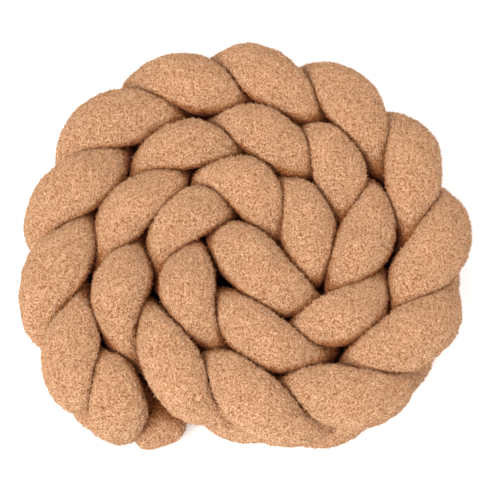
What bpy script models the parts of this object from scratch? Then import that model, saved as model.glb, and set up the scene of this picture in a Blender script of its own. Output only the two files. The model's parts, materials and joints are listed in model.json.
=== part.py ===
"""Braided crib bumper: three filled plush tubes, braided flat and rolled on edge into a spiral.

The braid stands on its long edge, so its width is the height of the roll. A tube climbs over
the top edge once in every braid period, and the place where one does is called a crest here.
The crests follow one spiral, clockwise from the outer end of the braid to the eye of the roll.
A tube is round where it is free, and flat where it presses on another or on the floor.

Units are metres, +Z is up, and the origin is the middle of the roll's box, on the floor.
"""

import math

import bmesh
import bpy
import numpy as np
from mathutils import Vector
from mathutils.bvhtree import BVHTree

# Driving dimensions
TUBES = 3
TUBE_RADIUS = 0.0285  # one filled tube, where nothing presses on it
ROLL_HEIGHT = 0.149  # the braid's width, which stands upright, before its bends are eased
CREST_SPACING = 0.0788  # along the spiral, from one crest to the next
TURN_PITCH = 0.0570  # from one turn of the spiral to the next
OUTER_RADIUS = 0.1930  # from the eye of the roll to the spiral at the first crest
OUTER_AZIMUTH = math.radians(-133.7)  # of the first crest, counter-clockwise from +X
SWING = 0.0140  # how far a tube swings from the braid's middle to either face
FOOT_SCALE = 0.94  # the roll is a little narrower on the floor than at its top
FOOT_SHIFT = (0.0, 0.012)  # and leans a little, so that its foot lies further back
FLOOR_PRESS = 0.0075  # how far the floor flattens a tube that rests on it
GAP = 0.0024  # between tubes that press on each other
EASE = 0.013  # over which a tube's bends are eased
SPIRAL_TURNS = 3.2  # as many as the spiral could have before it reached its eye

# How finely the curves are drawn
LEAD_IN = -0.5  # radians of the spiral before its first crest
SPIRAL_STEPS = 8000
LINE_STEPS = 6000
PLACES_PER_CREST = 4  # that carry the line of a braided tube
HEADING_SPAN = 0.05  # crests to either side, between which the braid's heading is read
LEAST = 1e-9  # in place of nothing, where a number divides

# How a tube is faceted and pressed
RING_SPACING = 0.0160  # along a tube
SIDES = 16
SAMPLE_SPACING = 0.003  # along a tube, of the points that its neighbours keep clear of
ROUNDING = 8.0  # how sharply a free surface turns into a pressed one
MOST_SWELL = 1.04  # how much a pressed tube may swell on its free sides
SWELL_PASSES = 4
NEIGHBOUR_REACH = 4 * TUBE_RADIUS  # nothing further from a ring's centre presses on it
NEAR_ALONG_TUBE = 0.055  # a tube's own stretch is no neighbour nearer than this
LEAST_STEP = 0.0025  # between rings on the inside of a bend
BEND_PASSES = 40
BEND_STEP = 0.97  # how much one pass leaves of a reach that it draws in
END_LENGTH = 0.015  # over which a tube's tip rounds off
TIP_RINGS = (0.0015, 0.006)  # extra rings, from the tip
TIP_KEEP = 3  # rings by a tip that a bend leaves alone
CLEARANCE = 0.0004  # between the facets of two tubes
APART_PASSES = 6
LEAST_REACH = TUBE_RADIUS / 8  # of a point that another tube pushes back
OWN_TURN = 16  # rings apart on one tube, past which its stretches are neighbours
# Where on a triangle its clearance is tried: corners, edges' middles and the centre
SPOTS = (
    (1, 0, 0),
    (0, 1, 0),
    (0, 0, 1),
    (0.5, 0.5, 0),
    (0, 0.5, 0.5),
    (0.5, 0, 0.5),
    (1 / 3, 1 / 3, 1 / 3),
)

# No two crests lie quite alike. Each row shifts one from its even place on the spiral:
# ahead along the spiral, out from the eye of the roll, and up.
CRESTS = (
    # ahead_mm, out_mm, up_mm
    (12, -3, 0),  # 0, at the outer end of the braid
    (-8, 5, 0),
    (-6, 0, 0),
    (-8, 2, 1),
    (-7, 10, 0),
    (-9, 6, 0),  # 5
    (-15, 0, 1),
    (-9, 0, 0),
    (-4, 0, 0),
    (-1, 2, -1),
    (4, 4, 0),  # 10
    (3, 8, 0),
    (5, -6, 0),
    (10, -6, 1),
    (15, 5, 0),
    (21, -5, 0),  # 15
    (21, 5, 0),
    (15, 1, 1),
    (9, 6, 0),
    (6, -4, 0),
    (12, 3, 0),  # 20
    (7, -4, 1),
    (15, 2, 0),
    (6, 12, 1),
    (-15, 13, 0),
    (-20, 4, 0),  # 25, next to the eye of the roll
)

# Where the even braid starts and ends in each tube, counted in crests.
BRAIDED = (
    # first, last
    (0.25, 24.0),
    (0.25, 25.0),
    (0.45, 24.0),
)

# A tube's loose end runs on from the braid through these places. The tip comes first at
# the outer end of the braid, and last at the inner one, in the eye of the roll.
OUTER_ENDS = (
    # x_mm, y_mm, z_mm
    ((-126, -120, 2), (-129, -131, 36), (-131, -138, 72), (-133, -139, 106)),
    ((-90, -159, 28), (-98, -134, 30), (-112, -114, 34), (-128, -110, 48)),
    ((-157, -142, 21),),
)
INNER_ENDS = (
    # x_mm, y_mm, z_mm
    ((8, 48, 114), (17, 28, 88), (15, 12, 60), (2, 3, 38), (-22, 5, 26), (-42, 3, 26)),
    ((46, -6, 108), (43, -17, 88), (37, -18, 64)),
    (
        (22, 46, 20),
        (54, 16, 26),
        (62, -20, 56),
        (42, -50, 92),
        (21, -41, 117),
        (1, -20, 123),
        (-17, 3, 119),
        (-31, 16, 96),
        (-33, 18, 64),
    ),
)

PLUSH = {"colour": (0.62, 0.35, 0.20, 1.0), "roughness": 0.95}


def clear_scene():
    """Removes whatever objects the scene holds."""
    for old in list(bpy.data.objects):
        bpy.data.objects.remove(old)


def smooth_curve(knots, places):
    """A natural cubic spline through places at the rising knots, as a function of the knot."""
    knots = np.asarray(knots, float)
    places = np.asarray(places, float)
    step = np.diff(knots)
    slope = np.diff(places, axis=0) / step[:, None]
    system = np.eye(len(knots))
    target = np.zeros_like(places)
    for row in range(1, len(knots) - 1):
        system[row, row - 1 : row + 2] = step[row - 1], 2 * (step[row - 1] + step[row]), step[row]
        target[row] = 6 * (slope[row] - slope[row - 1])
    bend = np.linalg.solve(system, target)

    def at(knot):
        knot = np.atleast_1d(np.asarray(knot, float))
        span = np.clip(np.searchsorted(knots, knot) - 1, 0, len(step) - 1)
        wide = step[span][:, None]
        left = (knot - knots[span])[:, None]
        right = wide - left
        curved = (bend[span] * right**3 + bend[span + 1] * left**3) / (6 * wide)
        start = (places[span] / wide - bend[span] * wide / 6) * right
        end = (places[span + 1] / wide - bend[span + 1] * wide / 6) * left
        return curved + start + end

    return at


def fair(places, width):
    """Evenly spaced places averaged with their neighbours, so that no bend is sharp."""
    reach = math.ceil(3 * width)
    weights = np.exp(-0.5 * (np.arange(-reach, reach + 1) / width) ** 2)
    weights /= weights.sum()
    before = 2 * places[0] - places[reach:0:-1]
    after = 2 * places[-1] - places[-2 : -reach - 2 : -1]
    longer = np.concatenate([before, places, after])
    return np.stack([np.convolve(axis, weights, "valid") for axis in longer.T], axis=1)


def turned_at(distance):
    """How far round the spiral is turned, at each distance along it from the first crest."""
    angle = np.linspace(LEAD_IN, math.tau * SPIRAL_TURNS, SPIRAL_STEPS)
    radius = OUTER_RADIUS - TURN_PITCH * angle / math.tau
    middle = (radius[1:] + radius[:-1]) / 2
    run = np.concatenate([[0.0], np.cumsum(np.hypot(np.diff(radius), np.diff(angle) * middle))])
    return np.interp(distance, run - np.interp(0.0, angle, run), angle)


def braid_middle():
    """The curve of the braid's middle over the crests: plan place and height shift."""
    ahead, out, up = np.array(CRESTS, float).T / 1000
    turned = turned_at(np.arange(len(CRESTS)) * CREST_SPACING + ahead - ahead[0])
    radius = OUTER_RADIUS - TURN_PITCH * turned / math.tau + out
    azimuth = OUTER_AZIMUTH - turned
    places = np.stack([radius * np.cos(azimuth), radius * np.sin(azimuth), up], axis=1)
    return smooth_curve(np.arange(len(CRESTS)), places)


def braided_points(tube, middle):
    """Places along the braided stretch of one tube, a few for each crest."""
    first, last = BRAIDED[tube]
    counts = np.linspace(first, last, round((last - first) * PLACES_PER_CREST) + 1)
    spot = middle(counts)
    ahead = middle(counts + HEADING_SPAN) - middle(counts - HEADING_SPAN)
    ahead[:, 2] = 0
    ahead /= np.linalg.norm(ahead, axis=1)[:, None]
    outward = np.stack([-ahead[:, 1], ahead[:, 0]], axis=1)
    phase = math.tau * (counts - tube) / TUBES
    rise = (ROLL_HEIGHT - 2 * TUBE_RADIUS + FLOOR_PRESS) / 2
    places = np.empty((len(counts), 3))
    places[:, :2] = spot[:, :2] - outward * (SWING * np.sin(2 * phase))[:, None]
    down = (1 - np.cos(phase))[:, None] / 2
    places[:, :2] += (places[:, :2] * (FOOT_SCALE - 1) + FOOT_SHIFT) * down
    places[:, 2] = TUBE_RADIUS - FLOOR_PRESS + rise * (1 + np.cos(phase))
    places[:, 2] += spot[:, 2] * (1 + np.cos(phase)) / 2
    return places


def tube_line(tube, middle):
    """One tube's centre line, as a function of the distance from its outer tip, and its length."""
    outer = np.array(OUTER_ENDS[tube], float) / 1000
    inner = np.array(INNER_ENDS[tube], float) / 1000
    places = np.concatenate([outer, braided_points(tube, middle), inner])
    chord = np.concatenate([[0.0], np.cumsum(np.linalg.norm(np.diff(places, axis=0), axis=1))])
    step = SAMPLE_SPACING / 2
    knots = np.linspace(0, chord[-1], round(chord[-1] / step))
    faired = fair(smooth_curve(chord, places)(knots), EASE / step)
    curve = smooth_curve(knots[::2], faired[::2])
    fine = np.linspace(0, knots[::2][-1], LINE_STEPS)
    steps = np.linalg.norm(np.diff(curve(fine), axis=0), axis=1)
    run = np.concatenate([[0.0], np.cumsum(steps)])
    return lambda distance: curve(np.interp(distance, run, fine)), run[-1]


def unit(rows):
    """The rows, each scaled to length 1."""
    return rows / np.linalg.norm(rows, axis=-1, keepdims=True)


def ring_places(length):
    """Distances of the rings along a tube: even, but closer where its tips round off."""
    even = np.linspace(0, length, round(length / RING_SPACING) + 1)[1:-1]
    return np.concatenate([TIP_RINGS, even, length - np.array(TIP_RINGS[::-1])])


def pressed_reach(centre, rays, others, swell):
    """How far a tube reaches from its centre along each ray, pressed by the points of others."""
    away = others - centre
    far = np.linalg.norm(away, axis=1)
    near = far < NEIGHBOUR_REACH
    away, far = away[near], far[near]
    facing = np.maximum(rays @ away.T, LEAST)
    halfway = ((far**2 - GAP * far) / (2 * facing)).min(axis=1)
    free = TUBE_RADIUS * swell
    return (free**-ROUNDING + halfway**-ROUNDING) ** (-1 / ROUNDING)


class Tube:
    """One filled tube as rings of points round its centre line.

    centre holds a place for each ring, rays the directions from it to the ring's points, and
    reach how far each point lies along its ray.
    """

    def __init__(self, line, length):
        self.line = line
        self.length = length
        self.along = ring_places(length)
        self.centre = line(self.along)
        self.tips = line(np.array([0.0, length]))
        step = RING_SPACING / 2
        self.ahead = unit(line(self.along + step / 2) - line(self.along - step / 2))
        across = np.empty_like(self.centre)
        guide = np.array([0.0, 0.0, 1.0])
        for row, way in enumerate(self.ahead):
            guide = unit(guide - way * (guide @ way))
            across[row] = guide
        upward = np.cross(self.ahead, across)
        turn = math.tau * np.arange(SIDES) / SIDES
        self.rays = np.cos(turn)[None, :, None] * across[:, None, :]
        self.rays = self.rays + np.sin(turn)[None, :, None] * upward[:, None, :]
        self.reach = np.full(self.rays.shape[:2], TUBE_RADIUS)

    def points(self):
        """Every point of the surface: ring by ring, and then the two tips."""
        rings = self.centre[:, None, :] + self.rays * self.reach[:, :, None]
        return np.concatenate([rings.reshape(-1, 3), self.tips])

    def press(self, others_at):
        """Presses each ring against the points that others_at gives, and swells it to make up."""
        full = math.pi * TUBE_RADIUS**2
        for row, at in enumerate(self.along):
            swell = 1.0
            for _ in range(SWELL_PASSES):
                reach = pressed_reach(self.centre[row], self.rays[row], others_at(at), swell)
                area = math.pi / SIDES * (reach**2).sum()
                swell = min(MOST_SWELL, swell * math.sqrt(full / area))
            to_tip = min(at, self.length - at) / END_LENGTH
            rounding = math.sqrt(1 - (1 - min(to_tip, 1)) ** 2)
            self.reach[row] = reach * rounding

    def open_bends(self):
        """Draws in the inside of each tight bend until its rings no longer crowd."""
        way = unit(self.ahead[1:] + self.ahead[:-1])
        for _ in range(BEND_PASSES):
            rings = self.centre[:, None, :] + self.rays * self.reach[:, :, None]
            crowded = np.einsum("rsx,rx->rs", np.diff(rings, axis=0), way) < LEAST_STEP
            crowded[:TIP_KEEP] = False
            crowded[-TIP_KEEP:] = False
            if not crowded.any():
                break
            self.reach[:-1][crowded] *= BEND_STEP
            self.reach[1:][crowded] *= BEND_STEP

    def rest_on_floor(self):
        """Cuts the tube off flat at the floor."""
        down = np.maximum(-self.rays[:, :, 2], LEAST)
        self.reach = np.minimum(self.reach, self.centre[:, None, 2] / down)

    def triangles(self):
        """Corners of every triangle, split along the flatter diagonal to stay clear of others."""
        count = len(self.along)
        points = self.points()
        result = []
        for ring in range(count - 1):
            heart = (self.centre[ring] + self.centre[ring + 1]) / 2
            for side in range(SIDES):
                after = (side + 1) % SIDES
                one, two = ring * SIDES + side, ring * SIDES + after
                four, three = one + SIDES, two + SIDES
                rising = np.linalg.norm((points[one] + points[three]) / 2 - heart)
                falling = np.linalg.norm((points[two] + points[four]) / 2 - heart)
                if rising < falling:
                    result += [(one, two, three), (one, three, four)]
                else:
                    result += [(one, two, four), (two, three, four)]
        last = (count - 1) * SIDES
        for side in range(SIDES):
            after = (side + 1) % SIDES
            result.append((after, side, count * SIDES))
            result.append((last + side, last + after, count * SIDES + 1))
        return result

    def draw_back(self, corner, amount):
        """Moves one of the surface's points towards the centre line."""
        row, side = divmod(corner, SIDES)
        if row < len(self.along):
            self.reach[row, side] = max(self.reach[row, side] - amount, LEAST_REACH)


def shortfall(place, ring, own, own_faces, others):
    """How much too near a place on one tube is to another tube, or to its own tube's other turns."""
    worst = 0.0
    for tree in others:
        found, normal, _, _ = tree.find_nearest(place, 2 * TUBE_RADIUS)
        if found is not None:
            worst = max(worst, CLEARANCE - (place - found).dot(normal))
    for found, normal, index, _ in own.find_nearest_range(place, 2 * GAP):
        if abs(own_faces[index][0] // SIDES - ring) > OWN_TURN:
            worst = max(worst, CLEARANCE - (place - found).dot(normal))
    return worst


def keep_apart(tubes):
    """Draws back each triangle that comes too near to the surface of another tube or turn."""
    for _ in range(APART_PASSES):
        shapes = [(tube.points(), tube.triangles()) for tube in tubes]
        trees = [BVHTree.FromPolygons(points.tolist(), faces) for points, faces in shapes]
        for number, tube in enumerate(tubes):
            points, faces = shapes[number]
            spots = np.einsum("pc,fcx->fpx", np.array(SPOTS), points[np.array(faces)])
            others = trees[:number] + trees[number + 1 :]
            excess = {}
            for corners, places in zip(faces, spots):
                ring = min(corners) // SIDES
                own = trees[number]
                lack = [shortfall(Vector(place), ring, own, faces, others) for place in places]
                for corner in corners if max(lack) > 0 else ():
                    excess[corner] = max(excess.get(corner, 0.0), max(lack))
            for corner, amount in excess.items():
                tube.draw_back(corner, amount / 2)


def build_tubes():
    """The three tubes, pressed on each other and on the floor."""
    middle = braid_middle()
    tubes = [Tube(*tube_line(number, middle)) for number in range(TUBES)]
    along = [np.arange(0, tube.length, SAMPLE_SPACING) for tube in tubes]
    samples = [tube.line(places) for tube, places in zip(tubes, along)]
    for number, tube in enumerate(tubes):
        rest = np.concatenate([samples[other] for other in range(TUBES) if other != number])
        own, places = samples[number], along[number]

        def others_at(at, rest=rest, own=own, places=places):
            return np.concatenate([rest, own[np.abs(places - at) > NEAR_ALONG_TUBE]])

        tube.press(others_at)
        tube.open_bends()
        tube.rest_on_floor()
    keep_apart(tubes)
    return tubes


def make_solid(name, tube, shift, material):
    """An object whose mesh is the tube's closed surface."""
    shape = bmesh.new()
    points = [shape.verts.new(point) for point in tube.points() + shift]
    for corners in tube.triangles():
        shape.faces.new([points[corner] for corner in corners])
    bmesh.ops.recalc_face_normals(shape, faces=shape.faces)
    mesh = bpy.data.meshes.new(name)
    shape.to_mesh(mesh)
    shape.free()
    mesh.materials.append(material)
    solid = bpy.data.objects.new(name, mesh)
    bpy.context.scene.collection.objects.link(solid)


def plush_material():
    """Curly camel-coloured plush."""
    material = bpy.data.materials.new("boucle")
    material.use_nodes = True
    shader = material.node_tree.nodes["Principled BSDF"]
    shader.inputs["Base Color"].default_value = PLUSH["colour"]
    shader.inputs["Roughness"].default_value = PLUSH["roughness"]
    return material


def main():
    """Builds the three strands round the middle of their own box."""
    clear_scene()
    material = plush_material()
    tubes = build_tubes()
    points = np.concatenate([tube.points() for tube in tubes])
    middle = (points.min(axis=0) + points.max(axis=0)) / 2
    shift = np.array([-middle[0], -middle[1], 0.0])
    for number, tube in enumerate(tubes, 1):
        make_solid(f"strand_{number}", tube, shift, material)


main()
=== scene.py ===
"""Looks of a braided crib bumper: three filled plush tubes, braided and rolled up on edge.

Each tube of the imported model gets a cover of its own: a copy of the tube's surface that is
filled by a cloth simulation, kept clear of its neighbours, refined where it can be seen, and
raised into the small knots of a boucle. Short curled fibres stand on each cover as its pile.
Units are metres, and +Z is up.
"""

import json
import logging
import math
from collections import deque
from dataclasses import dataclass, field
from enum import Enum

import bmesh
import bpy
import numpy as np
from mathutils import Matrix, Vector, noise
from mathutils.bvhtree import BVHTree

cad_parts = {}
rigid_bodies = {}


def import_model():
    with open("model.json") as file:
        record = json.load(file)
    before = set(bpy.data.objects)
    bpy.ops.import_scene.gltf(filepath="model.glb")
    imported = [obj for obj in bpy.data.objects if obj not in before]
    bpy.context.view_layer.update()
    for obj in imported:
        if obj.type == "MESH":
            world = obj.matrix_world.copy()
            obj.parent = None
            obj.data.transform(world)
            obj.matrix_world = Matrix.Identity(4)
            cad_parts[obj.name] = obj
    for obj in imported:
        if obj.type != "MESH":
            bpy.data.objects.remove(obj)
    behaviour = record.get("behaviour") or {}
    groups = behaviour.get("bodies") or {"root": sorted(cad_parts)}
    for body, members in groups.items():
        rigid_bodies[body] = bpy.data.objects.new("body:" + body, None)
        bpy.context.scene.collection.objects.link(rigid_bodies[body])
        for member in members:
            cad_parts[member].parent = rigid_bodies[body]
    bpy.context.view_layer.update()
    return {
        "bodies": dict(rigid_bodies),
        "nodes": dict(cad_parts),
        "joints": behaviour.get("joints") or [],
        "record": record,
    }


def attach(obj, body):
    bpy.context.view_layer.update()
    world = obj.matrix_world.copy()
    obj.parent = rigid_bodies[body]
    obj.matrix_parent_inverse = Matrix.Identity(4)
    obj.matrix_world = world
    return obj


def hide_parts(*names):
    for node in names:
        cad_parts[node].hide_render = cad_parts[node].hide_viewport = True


log = logging.getLogger("bumper")

BODY = "root"
MILLIMETRE = 0.001
FIBRE_POINTS = 5  # two at its root, two at its bend and one at its tip
LEAST = 1e-6  # in place of nothing, where a number divides
OWN_MERGE = 0.02 * MILLIMETRE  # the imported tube's loose triangles meet this closely
MIX_FACTOR, MIX_FIRST, MIX_SECOND, MIX_RESULT = 0, 6, 7, 2  # a colour Mix node's sockets


class Filling(Enum):
    """How a cover gets its filled shape."""

    SIMULATED = "pressed out by a cloth simulation"
    PLAIN = "left as the packed tube"


class Field(Enum):
    """Values that a cover's mesh carries at each vertex."""

    OPENNESS = "openness"  # 0 deep in a crease, 1 where nothing is near; uneven on the pile; sets the painted crease shade
    CLEARANCE = "clearance"  # metres to the next tube or turn, at most a press's reach
    KNOT = "knot"  # 0 between the boucle's knots, 1 on top of one
    SHADE = "shade"  # the yarn's tone with painted shade: below 0 at the roots of the pile, above 0 at its tips


@dataclass(frozen=True)
class BoucleFinish:
    """Curly camel-coloured plush: light curls of yarn over ground in painted shade, with a soft
    sheen.

    Colours are linear red, green and blue.
    """

    root: tuple[float, float, float] = (0.35, 0.128, 0.044)  # painted shade between the tufts, where the ground lies low
    body: tuple[float, float, float] = (0.55, 0.265, 0.113)  # the deeper curls
    tip: tuple[float, float, float] = (0.88, 0.580, 0.355)  # the lightest curls
    crease_shade_powers: tuple[float, float, float] = (0.75, 1.60, 2.60)  # painted shade: each colour's power of the openness in a crease
    fully_open: float = 0.48  # openness from which no shade is painted
    darkest_painted_shade: float = 0.07  # of the painted shade in the deepest crease, before the powers
    roughness: float = 0.92
    sheen: float = 0.25
    sheen_roughness: float = 0.45
    specular: float = 0.15
    tuft_size: float = 0.0018
    tuft_softness: float = 0.35  # how far neighbouring tufts run together
    tuft_slope: float = 1.7  # how steeply a tuft falls off from its middle
    tuft_top: float = 1.25
    tuft_share: float = 0.6  # of a tuft's height in the colour of a curl, as painted shade at its edges
    curl_size: float = 0.0016
    curl_detail: float = 1.0
    curl_shift: float = 0.0013  # how far the curls push the tufts out of line
    knot_share: float = 0.2  # of a knot's height in that of the ground, which sets its bump and its painted shade
    relief: float = 0.0012
    relief_strength: float = 1.0
    patch_size: float = 0.030
    patch_detail: float = 3.0
    patch_contrast: float = 0.25

    def ground(self) -> bpy.types.Material:
        """Builds the material of the covers, which shows between the curls.

        Returns:
            The material, which reads a cover's knot and openness values.
        """
        material, tree, shader = self._plush("boucle ground")
        tuft = self._tufts(tree)
        knot = self._value(tree, Field.KNOT)
        height = self._math(tree, "MULTIPLY_ADD", knot, self.knot_share, tuft)
        # Painted shade: the ground is coloured darker where it lies low between tufts and knots,
        # lighter on their tops
        self._colour(tree, shader, height, self.root, self.tip)
        bump = tree.nodes.new("ShaderNodeBump")
        bump.inputs["Strength"].default_value = self.relief_strength
        bump.inputs["Distance"].default_value = self.relief
        tree.links.new(height, bump.inputs["Height"])
        tree.links.new(bump.outputs["Normal"], shader.inputs["Normal"])
        return material

    def yarn(self) -> bpy.types.Material:
        """Builds the material of the pile's curls.

        Returns:
            The material, which reads a pile's shade and openness values.
        """
        material, tree, shader = self._plush("boucle yarn")
        tuft = self._tufts(tree)
        shade = self._value(tree, Field.SHADE)
        # painted shade: darker at the tufts' edges and at the fibres' roots
        level = self._math(tree, "MULTIPLY_ADD", tuft, self.tuft_share, shade)
        self._colour(tree, shader, level, self.body, self.tip)
        return material

    def _tufts(self, tree: bpy.types.NodeTree) -> bpy.types.NodeSocket:
        """The curly tufts that the fibres gather in, which differ in shape.

        Args:
            tree: The material's node tree.

        Returns:
            The socket with their height, which is greatest in the middle of a tuft.
        """
        place = tree.nodes.new("ShaderNodeTexCoord").outputs["Object"]
        waves = tree.nodes.new("ShaderNodeTexNoise")
        waves.inputs["Scale"].default_value = 1 / self.curl_size
        waves.inputs["Detail"].default_value = self.curl_detail
        tree.links.new(place, waves.inputs["Vector"])
        shift = tree.nodes.new("ShaderNodeVectorMath")
        shift.operation = "MULTIPLY_ADD"
        tree.links.new(waves.outputs["Color"], shift.inputs[0])
        shift.inputs[1].default_value = (self.curl_shift,) * 3
        tree.links.new(place, shift.inputs[2])
        cells = tree.nodes.new("ShaderNodeTexVoronoi")
        cells.feature = "SMOOTH_F1"
        cells.inputs["Scale"].default_value = 1 / self.tuft_size
        cells.inputs["Smoothness"].default_value = self.tuft_softness
        tree.links.new(shift.outputs["Vector"], cells.inputs["Vector"])
        away = cells.outputs["Distance"]
        return self._math(tree, "MULTIPLY_ADD", away, -self.tuft_slope, self.tuft_top)

    def _plush(
        self, name: str
    ) -> tuple[bpy.types.Material, bpy.types.NodeTree, bpy.types.ShaderNode]:
        """Starts a material with the sheen of plush.

        Args:
            name: What to call it.

        Returns:
            The material, its node tree and its shader.
        """
        material = bpy.data.materials.new(name)
        material.use_nodes = True
        tree = material.node_tree
        shader = tree.nodes["Principled BSDF"]
        shader.inputs["Roughness"].default_value = self.roughness
        shader.inputs["Diffuse Roughness"].default_value = 1.0
        shader.inputs["Sheen Weight"].default_value = self.sheen
        shader.inputs["Sheen Roughness"].default_value = self.sheen_roughness
        shader.inputs["Sheen Tint"].default_value = (*self.tip, 1.0)
        shader.inputs["Specular IOR Level"].default_value = self.specular
        return material, tree, shader

    def _colour(
        self,
        tree: bpy.types.NodeTree,
        shader: bpy.types.ShaderNode,
        level: bpy.types.NodeSocket,
        low: tuple[float, float, float],
        high: tuple[float, float, float],
    ) -> None:
        """Colours a shader between two colours, mottled, and with painted shade in the creases.

        Args:
            tree: The material's node tree.
            shader: The shader.
            level: The socket that says where between the two colours.
            low: The colour at 0.
            high: The colour at 1.
        """
        mix = tree.nodes.new("ShaderNodeMix")
        mix.data_type = "RGBA"
        mix.clamp_factor = True
        tree.links.new(level, mix.inputs[MIX_FACTOR])
        mix.inputs[MIX_FIRST].default_value = (*low, 1.0)
        mix.inputs[MIX_SECOND].default_value = (*high, 1.0)
        mottled = self._mottled(tree, mix.outputs[MIX_RESULT])
        shaded = self._painted_crease_shade(tree, mottled)
        tree.links.new(shaded, shader.inputs["Base Color"])

    @staticmethod
    def _value(tree: bpy.types.NodeTree, name: Field) -> bpy.types.NodeSocket:
        """Reads one of a mesh's values.

        Args:
            tree: The material's node tree.
            name: Which value.

        Returns:
            The socket that gives it.
        """
        node = tree.nodes.new("ShaderNodeAttribute")
        node.attribute_name = name.value
        return node.outputs["Fac"]

    @staticmethod
    def _math(
        tree: bpy.types.NodeTree, operation: str, *values: bpy.types.NodeSocket | float
    ) -> bpy.types.NodeSocket:
        """Adds a Math node.

        Args:
            tree: The material's node tree.
            operation: The node's operation.
            values: What it works on, each a socket or a number.

        Returns:
            The socket with the result.
        """
        node = tree.nodes.new("ShaderNodeMath")
        node.operation = operation
        for number, value in enumerate(values):
            if isinstance(value, bpy.types.NodeSocket):
                tree.links.new(value, node.inputs[number])
            else:
                node.inputs[number].default_value = value
        return node.outputs[0]

    def _mottled(
        self, tree: bpy.types.NodeTree, colour: bpy.types.NodeSocket
    ) -> bpy.types.NodeSocket:
        """Broad and faint unevenness, as where a hand has brushed the pile.

        Args:
            tree: The material's node tree.
            colour: The socket with the yarn's colour.

        Returns:
            The colour socket.
        """
        patches = tree.nodes.new("ShaderNodeTexNoise")
        patches.inputs["Scale"].default_value = 1 / self.patch_size
        patches.inputs["Detail"].default_value = self.patch_detail
        place = tree.nodes.new("ShaderNodeTexCoord").outputs["Object"]
        tree.links.new(place, patches.inputs["Vector"])
        lowest = 1 - self.patch_contrast / 2
        noisy = patches.outputs["Fac"]
        level = self._math(tree, "MULTIPLY_ADD", noisy, self.patch_contrast, lowest)
        return self._product(tree, colour, level)

    def _painted_crease_shade(
        self, tree: bpy.types.NodeTree, colour: bpy.types.NodeSocket
    ) -> bpy.types.NodeSocket:
        """The colour with painted shade, darker and warmer where the pile lies in a crease.

        Each of red, green and blue fades by its own power of the openness, as light does that
        passes from fibre to fibre, so that the painted shade grows warmer as it deepens.

        Args:
            tree: The material's node tree.
            colour: The socket with the colour on an open face.

        Returns:
            The colour socket.
        """
        ramp = tree.nodes.new("ShaderNodeMapRange")
        ramp.inputs["From Max"].default_value = self.fully_open
        ramp.inputs["To Min"].default_value = self.darkest_painted_shade
        tree.links.new(self._value(tree, Field.OPENNESS), ramp.inputs["Value"])
        join = tree.nodes.new("ShaderNodeCombineColor")
        for channel, power in zip(join.inputs, self.crease_shade_powers):
            faded = self._math(tree, "POWER", ramp.outputs["Result"], power)
            tree.links.new(faded, channel)
        return self._product(tree, colour, join.outputs["Color"])

    @staticmethod
    def _product(
        tree: bpy.types.NodeTree, colour: bpy.types.NodeSocket, other: bpy.types.NodeSocket
    ) -> bpy.types.NodeSocket:
        """Multiplies a colour by another colour or by a level.

        Args:
            tree: The material's node tree.
            colour: The socket with the colour.
            other: The socket with what it is multiplied by.

        Returns:
            The colour socket.
        """
        mix = tree.nodes.new("ShaderNodeMix")
        mix.data_type = "RGBA"
        mix.blend_type = "MULTIPLY"
        mix.inputs[MIX_FACTOR].default_value = 1.0
        tree.links.new(colour, mix.inputs[MIX_FIRST])
        tree.links.new(other, mix.inputs[MIX_SECOND])
        return mix.outputs[MIX_RESULT]


def select_only(piece: bpy.types.Object) -> None:
    """Makes one object the only selected one, and the active one.

    Args:
        piece: The object.
    """
    bpy.ops.object.select_all(action="DESELECT")
    piece.select_set(True)
    bpy.context.view_layer.objects.active = piece


def vertex_array(mesh: bpy.types.Mesh, what: str = "co") -> np.ndarray:
    """Reads a vector of each vertex.

    Args:
        mesh: The mesh.
        what: The vector's name, such as co or normal.

    Returns:
        One row of three numbers for each vertex.
    """
    flat = np.empty(len(mesh.vertices) * 3, np.float32)
    mesh.vertices.foreach_get(what, flat)
    return flat.reshape(-1, 3).astype(float)


def put_vertices(mesh: bpy.types.Mesh, places: np.ndarray) -> None:
    """Moves every vertex of a mesh.

    Args:
        mesh: The mesh.
        places: One row for each vertex.
    """
    mesh.vertices.foreach_set("co", places.astype(np.float32).ravel())
    mesh.update()


def read_field(mesh: bpy.types.Mesh, name: Field) -> np.ndarray:
    """Reads one of the values that a cover's mesh carries.

    Args:
        mesh: The mesh.
        name: Which value.

    Returns:
        One number for each vertex.
    """
    values = np.empty(len(mesh.vertices), np.float32)
    mesh.attributes[name.value].data.foreach_get("value", values)
    return values.astype(float)


def write_field(mesh: bpy.types.Mesh, name: Field, values: np.ndarray) -> None:
    """Gives a mesh a value at each vertex.

    Args:
        mesh: The mesh.
        name: Which value.
        values: One number for each vertex.
    """
    layer = mesh.attributes.get(name.value)
    if layer is None:
        layer = mesh.attributes.new(name.value, "FLOAT", "POINT")
    layer.data.foreach_set("value", values.astype(np.float32))


def edge_pairs(mesh: bpy.types.Mesh) -> np.ndarray:
    """The two vertices of each edge.

    Args:
        mesh: The mesh.

    Returns:
        One row of two vertex numbers for each edge.
    """
    flat = np.empty(len(mesh.edges) * 2, np.int32)
    mesh.edges.foreach_get("vertices", flat)
    return flat.reshape(-1, 2)


def unit(rows: np.ndarray) -> np.ndarray:
    """Scales rows to length 1.

    Args:
        rows: Directions along the last axis.

    Returns:
        The same directions, each of length 1.
    """
    return rows / np.linalg.norm(rows, axis=-1, keepdims=True)


def averaged(values: np.ndarray, pairs: np.ndarray, passes: int) -> np.ndarray:
    """Evens out values over a mesh's edges.

    Args:
        values: One row for each vertex.
        pairs: The mesh's edges.
        passes: How often each value takes its neighbours' mean.

    Returns:
        The evened values.
    """
    count = np.bincount(pairs.ravel(), minlength=len(values))
    shape = (-1,) + (1,) * (values.ndim - 1)
    for _ in range(passes):
        total = np.zeros_like(values)
        np.add.at(total, pairs[:, 0], values[pairs[:, 1]])
        np.add.at(total, pairs[:, 1], values[pairs[:, 0]])
        values = (values + total / count.reshape(shape)) / 2
    return values


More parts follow.
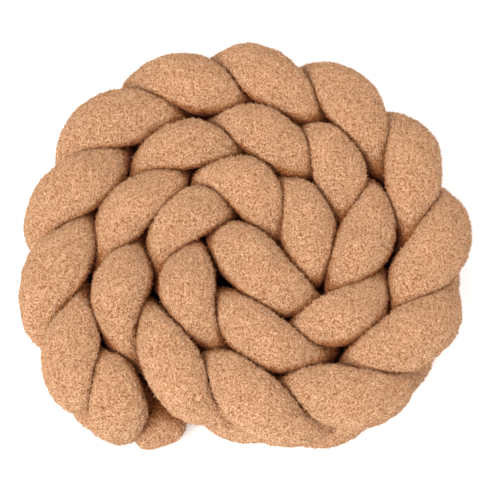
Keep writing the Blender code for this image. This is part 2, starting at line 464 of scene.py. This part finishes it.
@dataclass
class Cover:
    """The plush cover of one strand, with its filling.

    Attributes:
        node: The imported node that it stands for.
        name: The name of its piece.
    """

    node: str
    name: str
    most_fold: float = math.radians(70)  # between two triangles that are joined to one face
    most_skew: float = math.radians(80)  # of that face's corners, from a right angle
    quality: int = 4
    weight: float = 0.3
    stretch: float = 12.0
    shear: float = 6.0
    stiffness: float = 0.4
    pressure: float = 14.0
    slack: float = 0.012  # the share by which the cloth is larger than the tube
    frames: int = 16
    free_share: float = 0.5  # of the simulated swelling that is kept
    free_swell: float = 0.0004  # at most, where no neighbour is near
    press: float = 0.0036  # swelling that is added right beside a neighbour
    press_reach: float = 0.0180  # over which that fades out
    most_swell: float = 0.0034
    most_sink: float = 0.0003
    share_of_gap: float = 0.40  # under half, so that two covers stay apart
    sky_rays: int = 26
    sky_start: float = 0.0006
    sky_reach: float = 0.12
    own_turn: int = 30  # rings apart, past which a tube's stretches are neighbours
    evening: int = 2  # passes that even out what is measured and moved
    open_share: float = 0.31  # of the vertices, which are refined
    hidden_keep: float = 0.22  # of the faces that don't show
    finest_edge: float = 0.0019
    shut: float = 0.02  # openness under which there is no boucle
    pile: float = 0.0001
    least_rise: float = 0.00025
    knot_size: float = 0.0042
    knot_reach: float = 0.78
    knot_middle: float = 0.55
    knot_height: float = 0.0018
    lump_size: float = 0.026
    lump_height: float = 0.0018
    fill: float = 0.85
    piece: bpy.types.Object | None = field(default=None, repr=False)
    rest: np.ndarray | None = field(default=None, repr=False)
    outward: np.ndarray | None = field(default=None, repr=False)

    def copy_tube(self, nodes: dict[str, bpy.types.Object]) -> None:
        """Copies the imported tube, joined up, in four-sided faces, and once subdivided.

        Args:
            nodes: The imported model's nodes.
        """
        mesh = nodes[self.node].data.copy()
        mesh.name = self.name
        mesh.materials.clear()
        self.piece = bpy.data.objects.new(self.name, mesh)
        bpy.context.scene.collection.objects.link(self.piece)
        select_only(self.piece)
        bpy.ops.object.mode_set(mode="EDIT")
        bpy.ops.mesh.select_all(action="SELECT")
        bpy.ops.mesh.remove_doubles(threshold=OWN_MERGE)
        bpy.ops.mesh.tris_convert_to_quads(
            face_threshold=self.most_fold, shape_threshold=self.most_skew
        )
        bpy.ops.object.mode_set(mode="OBJECT")
        self._subdivide()
        self.rest = vertex_array(self.piece.data)
        self.outward = vertex_array(self.piece.data, "normal")

    def _subdivide(self) -> None:
        """Rounds the mesh by one level of subdivision."""
        select_only(self.piece)
        bpy.ops.object.modifier_add(type="SUBSURF")
        rounding = self.piece.modifiers[-1]
        rounding.levels = 1
        rounding.render_levels = 1
        bpy.ops.object.modifier_apply(modifier=rounding.name)

    def add_cloth(self) -> None:
        """Sets the cover up as cloth that its filling presses out."""
        select_only(self.piece)
        bpy.ops.object.modifier_add(type="CLOTH")
        cloth = self.piece.modifiers[-1]
        cloth.settings.quality = self.quality
        cloth.settings.mass = self.weight
        cloth.settings.use_pressure = True
        cloth.settings.uniform_pressure_force = self.pressure
        cloth.settings.tension_stiffness = self.stretch
        cloth.settings.compression_stiffness = self.stretch
        cloth.settings.shear_stiffness = self.shear
        cloth.settings.bending_stiffness = self.stiffness
        cloth.settings.shrink_min = -self.slack
        cloth.settings.effector_weights.gravity = 0.0
        cloth.collision_settings.use_collision = False
        cloth.point_cache.frame_start = 1
        cloth.point_cache.frame_end = self.frames

    def take_simulated(self) -> None:
        """Applies the cloth and keeps its shape as it now is."""
        select_only(self.piece)
        bpy.ops.object.modifier_apply(modifier=self.piece.modifiers[-1].name)

    def ring_numbers(self) -> np.ndarray:
        """Counts the mesh's rings from one tip of the tube.

        Returns:
            How many edges away from the tip each vertex is.
        """
        pairs = edge_pairs(self.piece.data)
        neighbours = [[] for _ in self.piece.data.vertices]
        for one, two in pairs.tolist():
            neighbours[one].append(two)
            neighbours[two].append(one)
        tip = max(range(len(neighbours)), key=lambda vertex: len(neighbours[vertex]))
        rings = np.full(len(neighbours), -1)
        rings[tip] = 0
        waiting = deque([tip])
        while waiting:
            here = waiting.popleft()
            for other in neighbours[here]:
                if rings[other] < 0:
                    rings[other] = rings[here] + 1
                    waiting.append(other)
        return rings

    def surface(self) -> BVHTree:
        """The cover's surface as it lies at rest, for finding what is near.

        Returns:
            A tree of its faces.
        """
        faces = [tuple(face.vertices) for face in self.piece.data.polygons]
        return BVHTree.FromPolygons(self.rest.tolist(), faces)

    def measure(self, own: BVHTree, others: list[BVHTree]) -> None:
        """Writes how open each vertex lies and how far the next tube or turn is.

        Args:
            own: This cover's surface.
            others: The other covers' surfaces.
        """
        mesh = self.piece.data
        rings = self.ring_numbers()
        face_ring = [rings[face.vertices[0]] for face in mesh.polygons]
        sky = sky_directions(self.sky_rays)
        openness = np.zeros(len(self.rest))
        clearance = np.zeros(len(self.rest))
        trees = [own, *others]
        for number, (place, normal) in enumerate(zip(self.rest, self.outward)):
            start = Vector(place + normal * self.sky_start)
            facing = sky @ normal
            free = total = 0.0
            for way, weight in zip(sky, facing):
                if weight <= 0:
                    continue
                total += weight
                direction = Vector(way)
                if any(tree.ray_cast(start, direction, self.sky_reach)[0] for tree in trees):
                    continue
                free += weight
            openness[number] = free / max(total, LEAST)
            clearance[number] = self._gap(Vector(place), rings[number], own, others, face_ring)
        pairs = edge_pairs(mesh)
        write_field(mesh, Field.OPENNESS, averaged(openness, pairs, self.evening))
        write_field(mesh, Field.CLEARANCE, clearance)

    def _gap(
        self, place: Vector, ring: int, own: BVHTree, others: list[BVHTree], face_ring: list[int]
    ) -> float:
        """How far a place is from another tube or from another turn of its own.

        Args:
            place: Where it is.
            ring: Its ring number.
            own: This cover's surface.
            others: The other covers' surfaces.
            face_ring: The ring number of each of this cover's faces.

        Returns:
            The distance, at most as far as a neighbour's press reaches.
        """
        least = self.press_reach
        for tree in others:
            distance = tree.find_nearest(place, least)[3]
            if distance is not None:
                least = min(least, distance)
        for _, _, index, distance in own.find_nearest_range(place, least):
            if abs(face_ring[index] - ring) > self.own_turn:
                least = min(least, distance)
        return least

    def settle(self) -> None:
        """Adds swelling beside a neighbour, and caps it all so that no neighbour is touched."""
        mesh = self.piece.data
        pairs = edge_pairs(mesh)
        moved = np.einsum("vx,vx->v", vertex_array(mesh) - self.rest, self.outward)
        gap = read_field(mesh, Field.CLEARANCE)
        pressed = np.clip(1 - gap / self.press_reach, 0, 1)
        most = self.free_swell + (self.most_swell - self.free_swell) * pressed
        wanted = moved * self.free_share + self.press * pressed
        most = np.minimum(most, gap * self.share_of_gap)
        swell = np.clip(averaged(wanted, pairs, self.evening), -self.most_sink, most)
        places = self.rest + self.outward * swell[:, None]
        places[:, 2] = np.maximum(places[:, 2], 0.0)
        put_vertices(mesh, places)
        log.info("%s: swollen by %.1f mm on average", self.name, swell.mean() / MILLIMETRE)

    def refine(self) -> None:
        """Makes the open faces fine enough to carry the boucle, and the hidden ones plain."""
        self._subdivide()
        mesh = self.piece.data
        openness = read_field(mesh, Field.OPENNESS)
        limit = float(np.quantile(openness, 1 - self.open_share))
        log.info("%s: faces more open than %.2f are refined", self.name, limit)
        self._thin_hidden(openness > limit)
        self._split_open(limit)

    def _thin_hidden(self, is_open: np.ndarray) -> None:
        """Joins small faces where they don't show.

        Args:
            is_open: Which vertices are left as they are.
        """
        group = self.piece.vertex_groups.new(name="hidden")
        hidden = np.flatnonzero(~is_open).tolist()
        group.add(hidden, 1.0, "REPLACE")
        share = len(hidden) / len(is_open)
        select_only(self.piece)
        bpy.ops.object.modifier_add(type="DECIMATE")
        thinning = self.piece.modifiers[-1]
        thinning.vertex_group = group.name
        thinning.ratio = 1 - share * (1 - self.hidden_keep)
        bpy.ops.object.modifier_apply(modifier=thinning.name)
        self.piece.vertex_groups.clear()

    def _split_open(self, limit: float) -> None:
        """Halves the long edges of the open faces.

        Args:
            limit: The openness past which a face is open.
        """
        shape = bmesh.new()
        shape.from_mesh(self.piece.data)
        layer = shape.verts.layers.float[Field.OPENNESS.value]
        chosen = [
            edge
            for edge in shape.edges
            if edge.calc_length() > self.finest_edge
            and min(vert[layer] for vert in edge.verts) > limit
        ]
        bmesh.ops.subdivide_edges(shape, edges=chosen, cuts=1, use_grid_fill=True)
        bmesh.ops.triangulate(shape, faces=[face for face in shape.faces if len(face.verts) > 4])
        shape.to_mesh(self.piece.data)
        shape.free()

    def raise_boucle(self) -> None:
        """Raises the knots of the boucle, over the slight lumps of the filling."""
        mesh = self.piece.data
        places = vertex_array(mesh)
        normals = vertex_array(mesh, "normal")
        openness = read_field(mesh, Field.OPENNESS)
        room = read_field(mesh, Field.CLEARANCE) * (0.5 - self.share_of_gap)
        knot = np.full(len(places), self.knot_middle)
        lump = np.zeros(len(places))
        for number in np.flatnonzero(openness > self.shut).tolist():
            place = Vector(places[number])
            nearest = noise.voronoi(place / self.knot_size)[0][0]
            knot[number] = max(0.0, 1.0 - (nearest / self.knot_reach) ** 2)
            lump[number] = noise.noise(place / self.lump_size)
        rise = self.pile + (knot - self.knot_middle) * self.knot_height + lump * self.lump_height
        rise = np.minimum(rise, np.maximum(room, 0.0) + self.least_rise)
        places += normals * rise[:, None]
        places[:, 2] = np.maximum(places[:, 2], 0.0)
        put_vertices(mesh, places)
        write_field(mesh, Field.KNOT, knot)

    def dress(self, material: bpy.types.Material) -> None:
        """Finishes the cover, and logs its name and how many faces it has.

        Args:
            material: The finish of every cover.
        """
        mesh = self.piece.data
        mesh.materials.append(material)
        select_only(self.piece)
        bpy.ops.object.shade_smooth()
        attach(self.piece, BODY)
        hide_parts(self.node)
        log.info("%s: %d faces", self.name, len(mesh.polygons))


@dataclass
class Pile:
    """The short curled fibres that stand on one cover, as thin ribbons in one mesh.

    Attributes:
        cover: The cover that they stand on.
        name: The name of the piece.
        seed: What their random places start from.
    """

    cover: Cover
    name: str
    seed: int
    fibres: int = 62000
    width: float = 0.0005
    length: tuple[float, float] = (0.0022, 0.0044)
    sunk: float = 0.0003
    lean: tuple[float, float] = (math.radians(5), math.radians(60))
    bend: tuple[float, float] = (math.radians(35), math.radians(95))
    twist: float = 0.5
    roundness: float = 0.7
    least_open: float = 0.03  # openness at which the first fibres stand
    most_open: float = 0.25  # and how much more of it gives them all
    underside: float = 0.30  # of the fibres, where a face looks down
    # how ragged the painted crease shade is from fibre to fibre
    unevenness: float = 0.09
    # share of a fibre's tone that follows the knot below it, as painted shade between the knots
    knot_share: float = 0.4
    fade: tuple[float, ...] = (-0.4, -0.4, 0.2, 0.2, 0.6)  # painted shade along a fibre, deepest at its root, from root to tip
    piece: bpy.types.Object | None = field(default=None, repr=False)

    def grow(self) -> None:
        """Makes the piece, with a fibre at each of the random places."""
        random = np.random.default_rng(self.seed)
        root, up, openness, knot = self._roots(random)
        along, across = self._directions(random, up)
        line = self._lines(random, root, up, along, across)
        mesh = bpy.data.meshes.new(self.name)
        mesh.from_pydata(self._ribbons(line, across), [], self._faces())
        mesh.update()
        mesh.normals_split_custom_set_from_vertices(self._normals(line, up, across))
        # painted crease shade on each fibre: the openness at its root, made a little uneven
        uneven = openness + random.normal(0, self.unevenness, self.fibres)
        write_field(mesh, Field.OPENNESS, np.repeat(uneven, FIBRE_POINTS))
        # Each fibre has its own random tone, with painted shade between the knots and at its root
        shade = random.random(self.fibres) * (1 - self.knot_share) + knot * self.knot_share
        write_field(mesh, Field.SHADE, np.outer(shade, self.fade).ravel())
        self.piece = bpy.data.objects.new(self.name, mesh)
        bpy.context.scene.collection.objects.link(self.piece)

    def _roots(self, random: np.random.Generator) -> tuple[np.ndarray, ...]:
        """Chooses where the fibres stand, mostly on the faces that lie open.

        Args:
            random: Where the random numbers come from.

        Returns:
            The places, and the normals, the openness and the knots there.
        """
        mesh = self.cover.piece.data
        mesh.calc_loop_triangles()
        corners = np.empty(3 * len(mesh.loop_triangles), np.int32)
        mesh.loop_triangles.foreach_get("vertices", corners)
        corners = corners.reshape(-1, 3)
        places = vertex_array(mesh)
        normals = vertex_array(mesh, "normal")
        edges = places[corners[:, 1:]] - places[corners[:, :1]]
        area = np.linalg.norm(np.cross(edges[:, 0], edges[:, 1]), axis=1)
        openness = read_field(mesh, Field.OPENNESS)
        open_part = (openness[corners].mean(axis=1) - self.least_open) / self.most_open
        facing_up = np.clip(normals[corners, 2].mean(axis=1), self.underside, 1)
        weight = area * facing_up * np.clip(open_part, 0, 1)
        chosen = corners[random.choice(len(corners), self.fibres, p=weight / weight.sum())]
        share = random.dirichlet(np.ones(3), self.fibres)
        root = np.einsum("cv,cvx->cx", share, places[chosen])
        up = unit(np.einsum("cv,cvx->cx", share, normals[chosen]))
        knot = read_field(mesh, Field.KNOT)
        levels = [np.einsum("cv,cv->c", share, values[chosen]) for values in (openness, knot)]
        return root - up * self.sunk, up, *levels

    @staticmethod
    def _directions(random: np.random.Generator, up: np.ndarray) -> tuple[np.ndarray, np.ndarray]:
        """Turns each fibre a random way round its normal.

        Args:
            random: Where the random numbers come from.
            up: The normals.

        Returns:
            The way that each fibre leans, and the way across it.
        """
        across = unit(np.cross(up, random.normal(size=up.shape)))
        return np.cross(across, up), across

    def _lines(
        self,
        random: np.random.Generator,
        root: np.ndarray,
        up: np.ndarray,
        along: np.ndarray,
        across: np.ndarray,
    ) -> np.ndarray:
        """The fibres' middle lines, which lean over and then bend further down.

        Args:
            random: Where the random numbers come from.
            root: Where the fibres stand.
            up: The normals there.
            along: The ways that they lean.
            across: The ways across them.

        Returns:
            Three places for each fibre: its root, its bend and its tip.
        """
        one = (self.fibres, 1)
        half = random.uniform(*self.length, one) / 2
        lean = random.uniform(*self.lean, one)
        bent = lean + random.uniform(*self.bend, one)
        middle = root + half * (np.cos(lean) * up + np.sin(lean) * along)
        aside = random.normal(0, self.twist, one) * across
        tip = middle + half * (np.cos(bent) * up + np.sin(bent) * along + aside)
        return np.stack([root, middle, tip], axis=1)

    def _ribbons(self, line: np.ndarray, across: np.ndarray) -> np.ndarray:
        """Spreads the middle lines into ribbons.

        Args:
            line: The middle lines.
            across: The ways across them.

        Returns:
            The places of all vertices.
        """
        half = across[:, None, :] * self.width / 2
        left = line[:, :2] - half
        right = line[:, :2] + half
        pairs = np.stack([left, right], axis=2).reshape(self.fibres, FIBRE_POINTS - 1, 3)
        places = np.concatenate([pairs, line[:, 2:]], axis=1).reshape(-1, 3)
        places[:, 2] = np.maximum(places[:, 2], 0.0)
        return places

    def _normals(self, line: np.ndarray, up: np.ndarray, across: np.ndarray) -> np.ndarray:
        """Normals that make a flat ribbon shade like a round and soft fibre.

        Args:
            line: The middle lines.
            up: The cover's normals.
            across: The ways across the fibres.

        Returns:
            A normal for each vertex.
        """
        ahead = np.gradient(line, axis=1)
        out = unit(np.cross(ahead, across[:, None, :])) + up[:, None, :]
        aside = across[:, None, :] * self.roundness
        left = out[:, :2] - aside
        right = out[:, :2] + aside
        pairs = np.stack([left, right], axis=2).reshape(self.fibres, FIBRE_POINTS - 1, 3)
        return unit(np.concatenate([pairs, out[:, 2:]], axis=1).reshape(-1, 3))

    def _faces(self) -> list[list[int]]:
        """The ribbons' faces, each with a four-sided one below its bend and a tip above.

        Returns:
            The corners of each.
        """
        first = FIBRE_POINTS * np.arange(self.fibres)[:, None]
        lower = first + np.array([0, 2, 3, 1])
        upper = first + np.array([2, 4, 3])
        return lower.tolist() + upper.tolist()

    def dress(self, material: bpy.types.Material) -> None:
        """Finishes the pile, and logs its name and how many fibres it has.

        Args:
            material: The finish of every pile.
        """
        self.piece.data.materials.append(material)
        select_only(self.piece)
        bpy.ops.object.shade_smooth()
        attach(self.piece, BODY)
        log.info("%s: %d fibres", self.name, self.fibres)


def sky_directions(count: int) -> np.ndarray:
    """Directions spread evenly over a ball.

    Args:
        count: About how many of them a face can see.

    Returns:
        One row for each direction.
    """
    number = np.arange(2 * count) + 0.5
    height = 1 - number / count
    turn = number * math.pi * (3 - math.sqrt(5))
    flat = np.sqrt(np.maximum(1 - height**2, 0))
    return np.stack([flat * np.cos(turn), flat * np.sin(turn), height], axis=1)


@dataclass
class Braid:
    """The covers of all strands, which are filled together.

    Attributes:
        covers: One for each strand.
    """

    covers: list[Cover]

    def build(self, nodes: dict[str, bpy.types.Object], filling: Filling) -> None:
        """Builds every cover.

        Args:
            nodes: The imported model's nodes.
            filling: How the covers get their shape.
        """
        for cover in self.covers:
            cover.copy_tube(nodes)
        trees = [cover.surface() for cover in self.covers]
        for number, cover in enumerate(self.covers):
            cover.measure(trees[number], trees[:number] + trees[number + 1 :])
        log.info("measured")
        if filling is Filling.SIMULATED:
            self._fill()
        for cover in self.covers:
            cover.refine()
            cover.raise_boucle()

    def _fill(self) -> None:
        """Lets the filling press all the covers out at once."""
        for cover in self.covers:
            cover.add_cloth()
        scene = bpy.context.scene
        for frame in range(1, max(cover.frames for cover in self.covers) + 1):
            scene.frame_set(frame)
        for cover in self.covers:
            cover.take_simulated()
        scene.frame_set(1)
        for cover in self.covers:
            cover.settle()
        log.info("filled")


@dataclass(frozen=True)
class Viewpoint:
    """Where the camera stands, and what it takes in."""

    aim: tuple[float, float, float] = (0.0125, -0.0178, 0.122)
    elevation: float = math.radians(71)
    distance: float = 2.2
    lens: float = 175.7
    shift: tuple[float, float] = (-0.0298, 0.0157)

    def place(self) -> None:
        """Creates the camera and makes it the scene's."""
        back = Vector((0.0, -math.cos(self.elevation), math.sin(self.elevation)))
        bpy.ops.object.camera_add(location=Vector(self.aim) + back * self.distance)
        camera = bpy.context.object
        camera.name = "camera"
        camera.rotation_euler = (-back).to_track_quat("-Z", "Y").to_euler()
        camera.data.lens = self.lens
        camera.data.shift_x, camera.data.shift_y = self.shift
        bpy.context.scene.camera = camera


@dataclass(frozen=True)
class Lamp:
    """One soft lamp of the studio."""

    name: str
    place: tuple[float, float, float]
    size: float
    power: float

    def light(self, target: Vector) -> None:
        """Adds the lamp.

        Args:
            target: What it shines on.
        """
        bpy.ops.object.light_add(type="AREA", location=self.place)
        lamp = bpy.context.object
        lamp.name = self.name
        lamp.data.size = self.size
        lamp.data.energy = self.power
        lamp.rotation_euler = (Vector(self.place) - target).to_track_quat("Z", "Y").to_euler()


@dataclass(frozen=True)
class Studio:
    """A plain pale floor that glows a little, soft lamps and an even white surround."""

    floor_size: float = 8.0
    floor_drop: float = 0.0002  # so that it doesn't flicker with the flats that rest on it
    floor_roughness: float = 0.9
    lit_point: tuple[float, float, float] = (0.0, 0.0, 0.1)
    floor_colour: tuple[float, float, float] = (0.93, 0.93, 0.93)
    floor_glow: float = 0.25
    surround: float = 0.82
    lamps: tuple[Lamp, ...] = (
        Lamp("key", (-0.9, -1.3, 2.2), 1.2, 52.0),
        Lamp("fill", (1.4, 0.9, 2.2), 1.8, 18.0),
    )

    def build(self) -> None:
        """Adds the floor, the lamps and the surround."""
        place = (0, 0, -self.floor_drop)
        bpy.ops.mesh.primitive_plane_add(size=self.floor_size, location=place)
        floor = bpy.context.object
        floor.name = "floor"
        paint = bpy.data.materials.new("floor")
        paint.use_nodes = True
        shader = paint.node_tree.nodes["Principled BSDF"]
        shader.inputs["Base Color"].default_value = (*self.floor_colour, 1.0)
        shader.inputs["Roughness"].default_value = self.floor_roughness
        shader.inputs["Emission Color"].default_value = (1.0, 1.0, 1.0, 1.0)
        shader.inputs["Emission Strength"].default_value = self.floor_glow
        floor.data.materials.append(paint)
        for lamp in self.lamps:
            lamp.light(Vector(self.lit_point))
        world = bpy.data.worlds.new("surround")
        world.use_nodes = True
        background = world.node_tree.nodes["Background"]
        background.inputs["Color"].default_value = (1.0, 1.0, 1.0, 1.0)
        background.inputs["Strength"].default_value = self.surround
        bpy.context.scene.world = world
        bpy.context.scene.view_settings.view_transform = "Standard"


def main() -> None:
    """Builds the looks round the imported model."""
    logging.basicConfig(level=logging.INFO, format="%(name)s: %(message)s")
    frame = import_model()
    Viewpoint().place()
    Studio().build()
    filling = Filling.SIMULATED
    braid = Braid([Cover(node, f"cover_{node}") for node in sorted(frame["nodes"])])
    braid.build(frame["nodes"], filling)
    finish = BoucleFinish()
    ground = finish.ground()
    yarn = finish.yarn()
    for number, cover in enumerate(braid.covers):
        cover.dress(ground)
        pile = Pile(cover, f"pile_{cover.node}", seed=number)
        pile.grow()
        pile.dress(yarn)


if __name__ == "__main__":
    main()
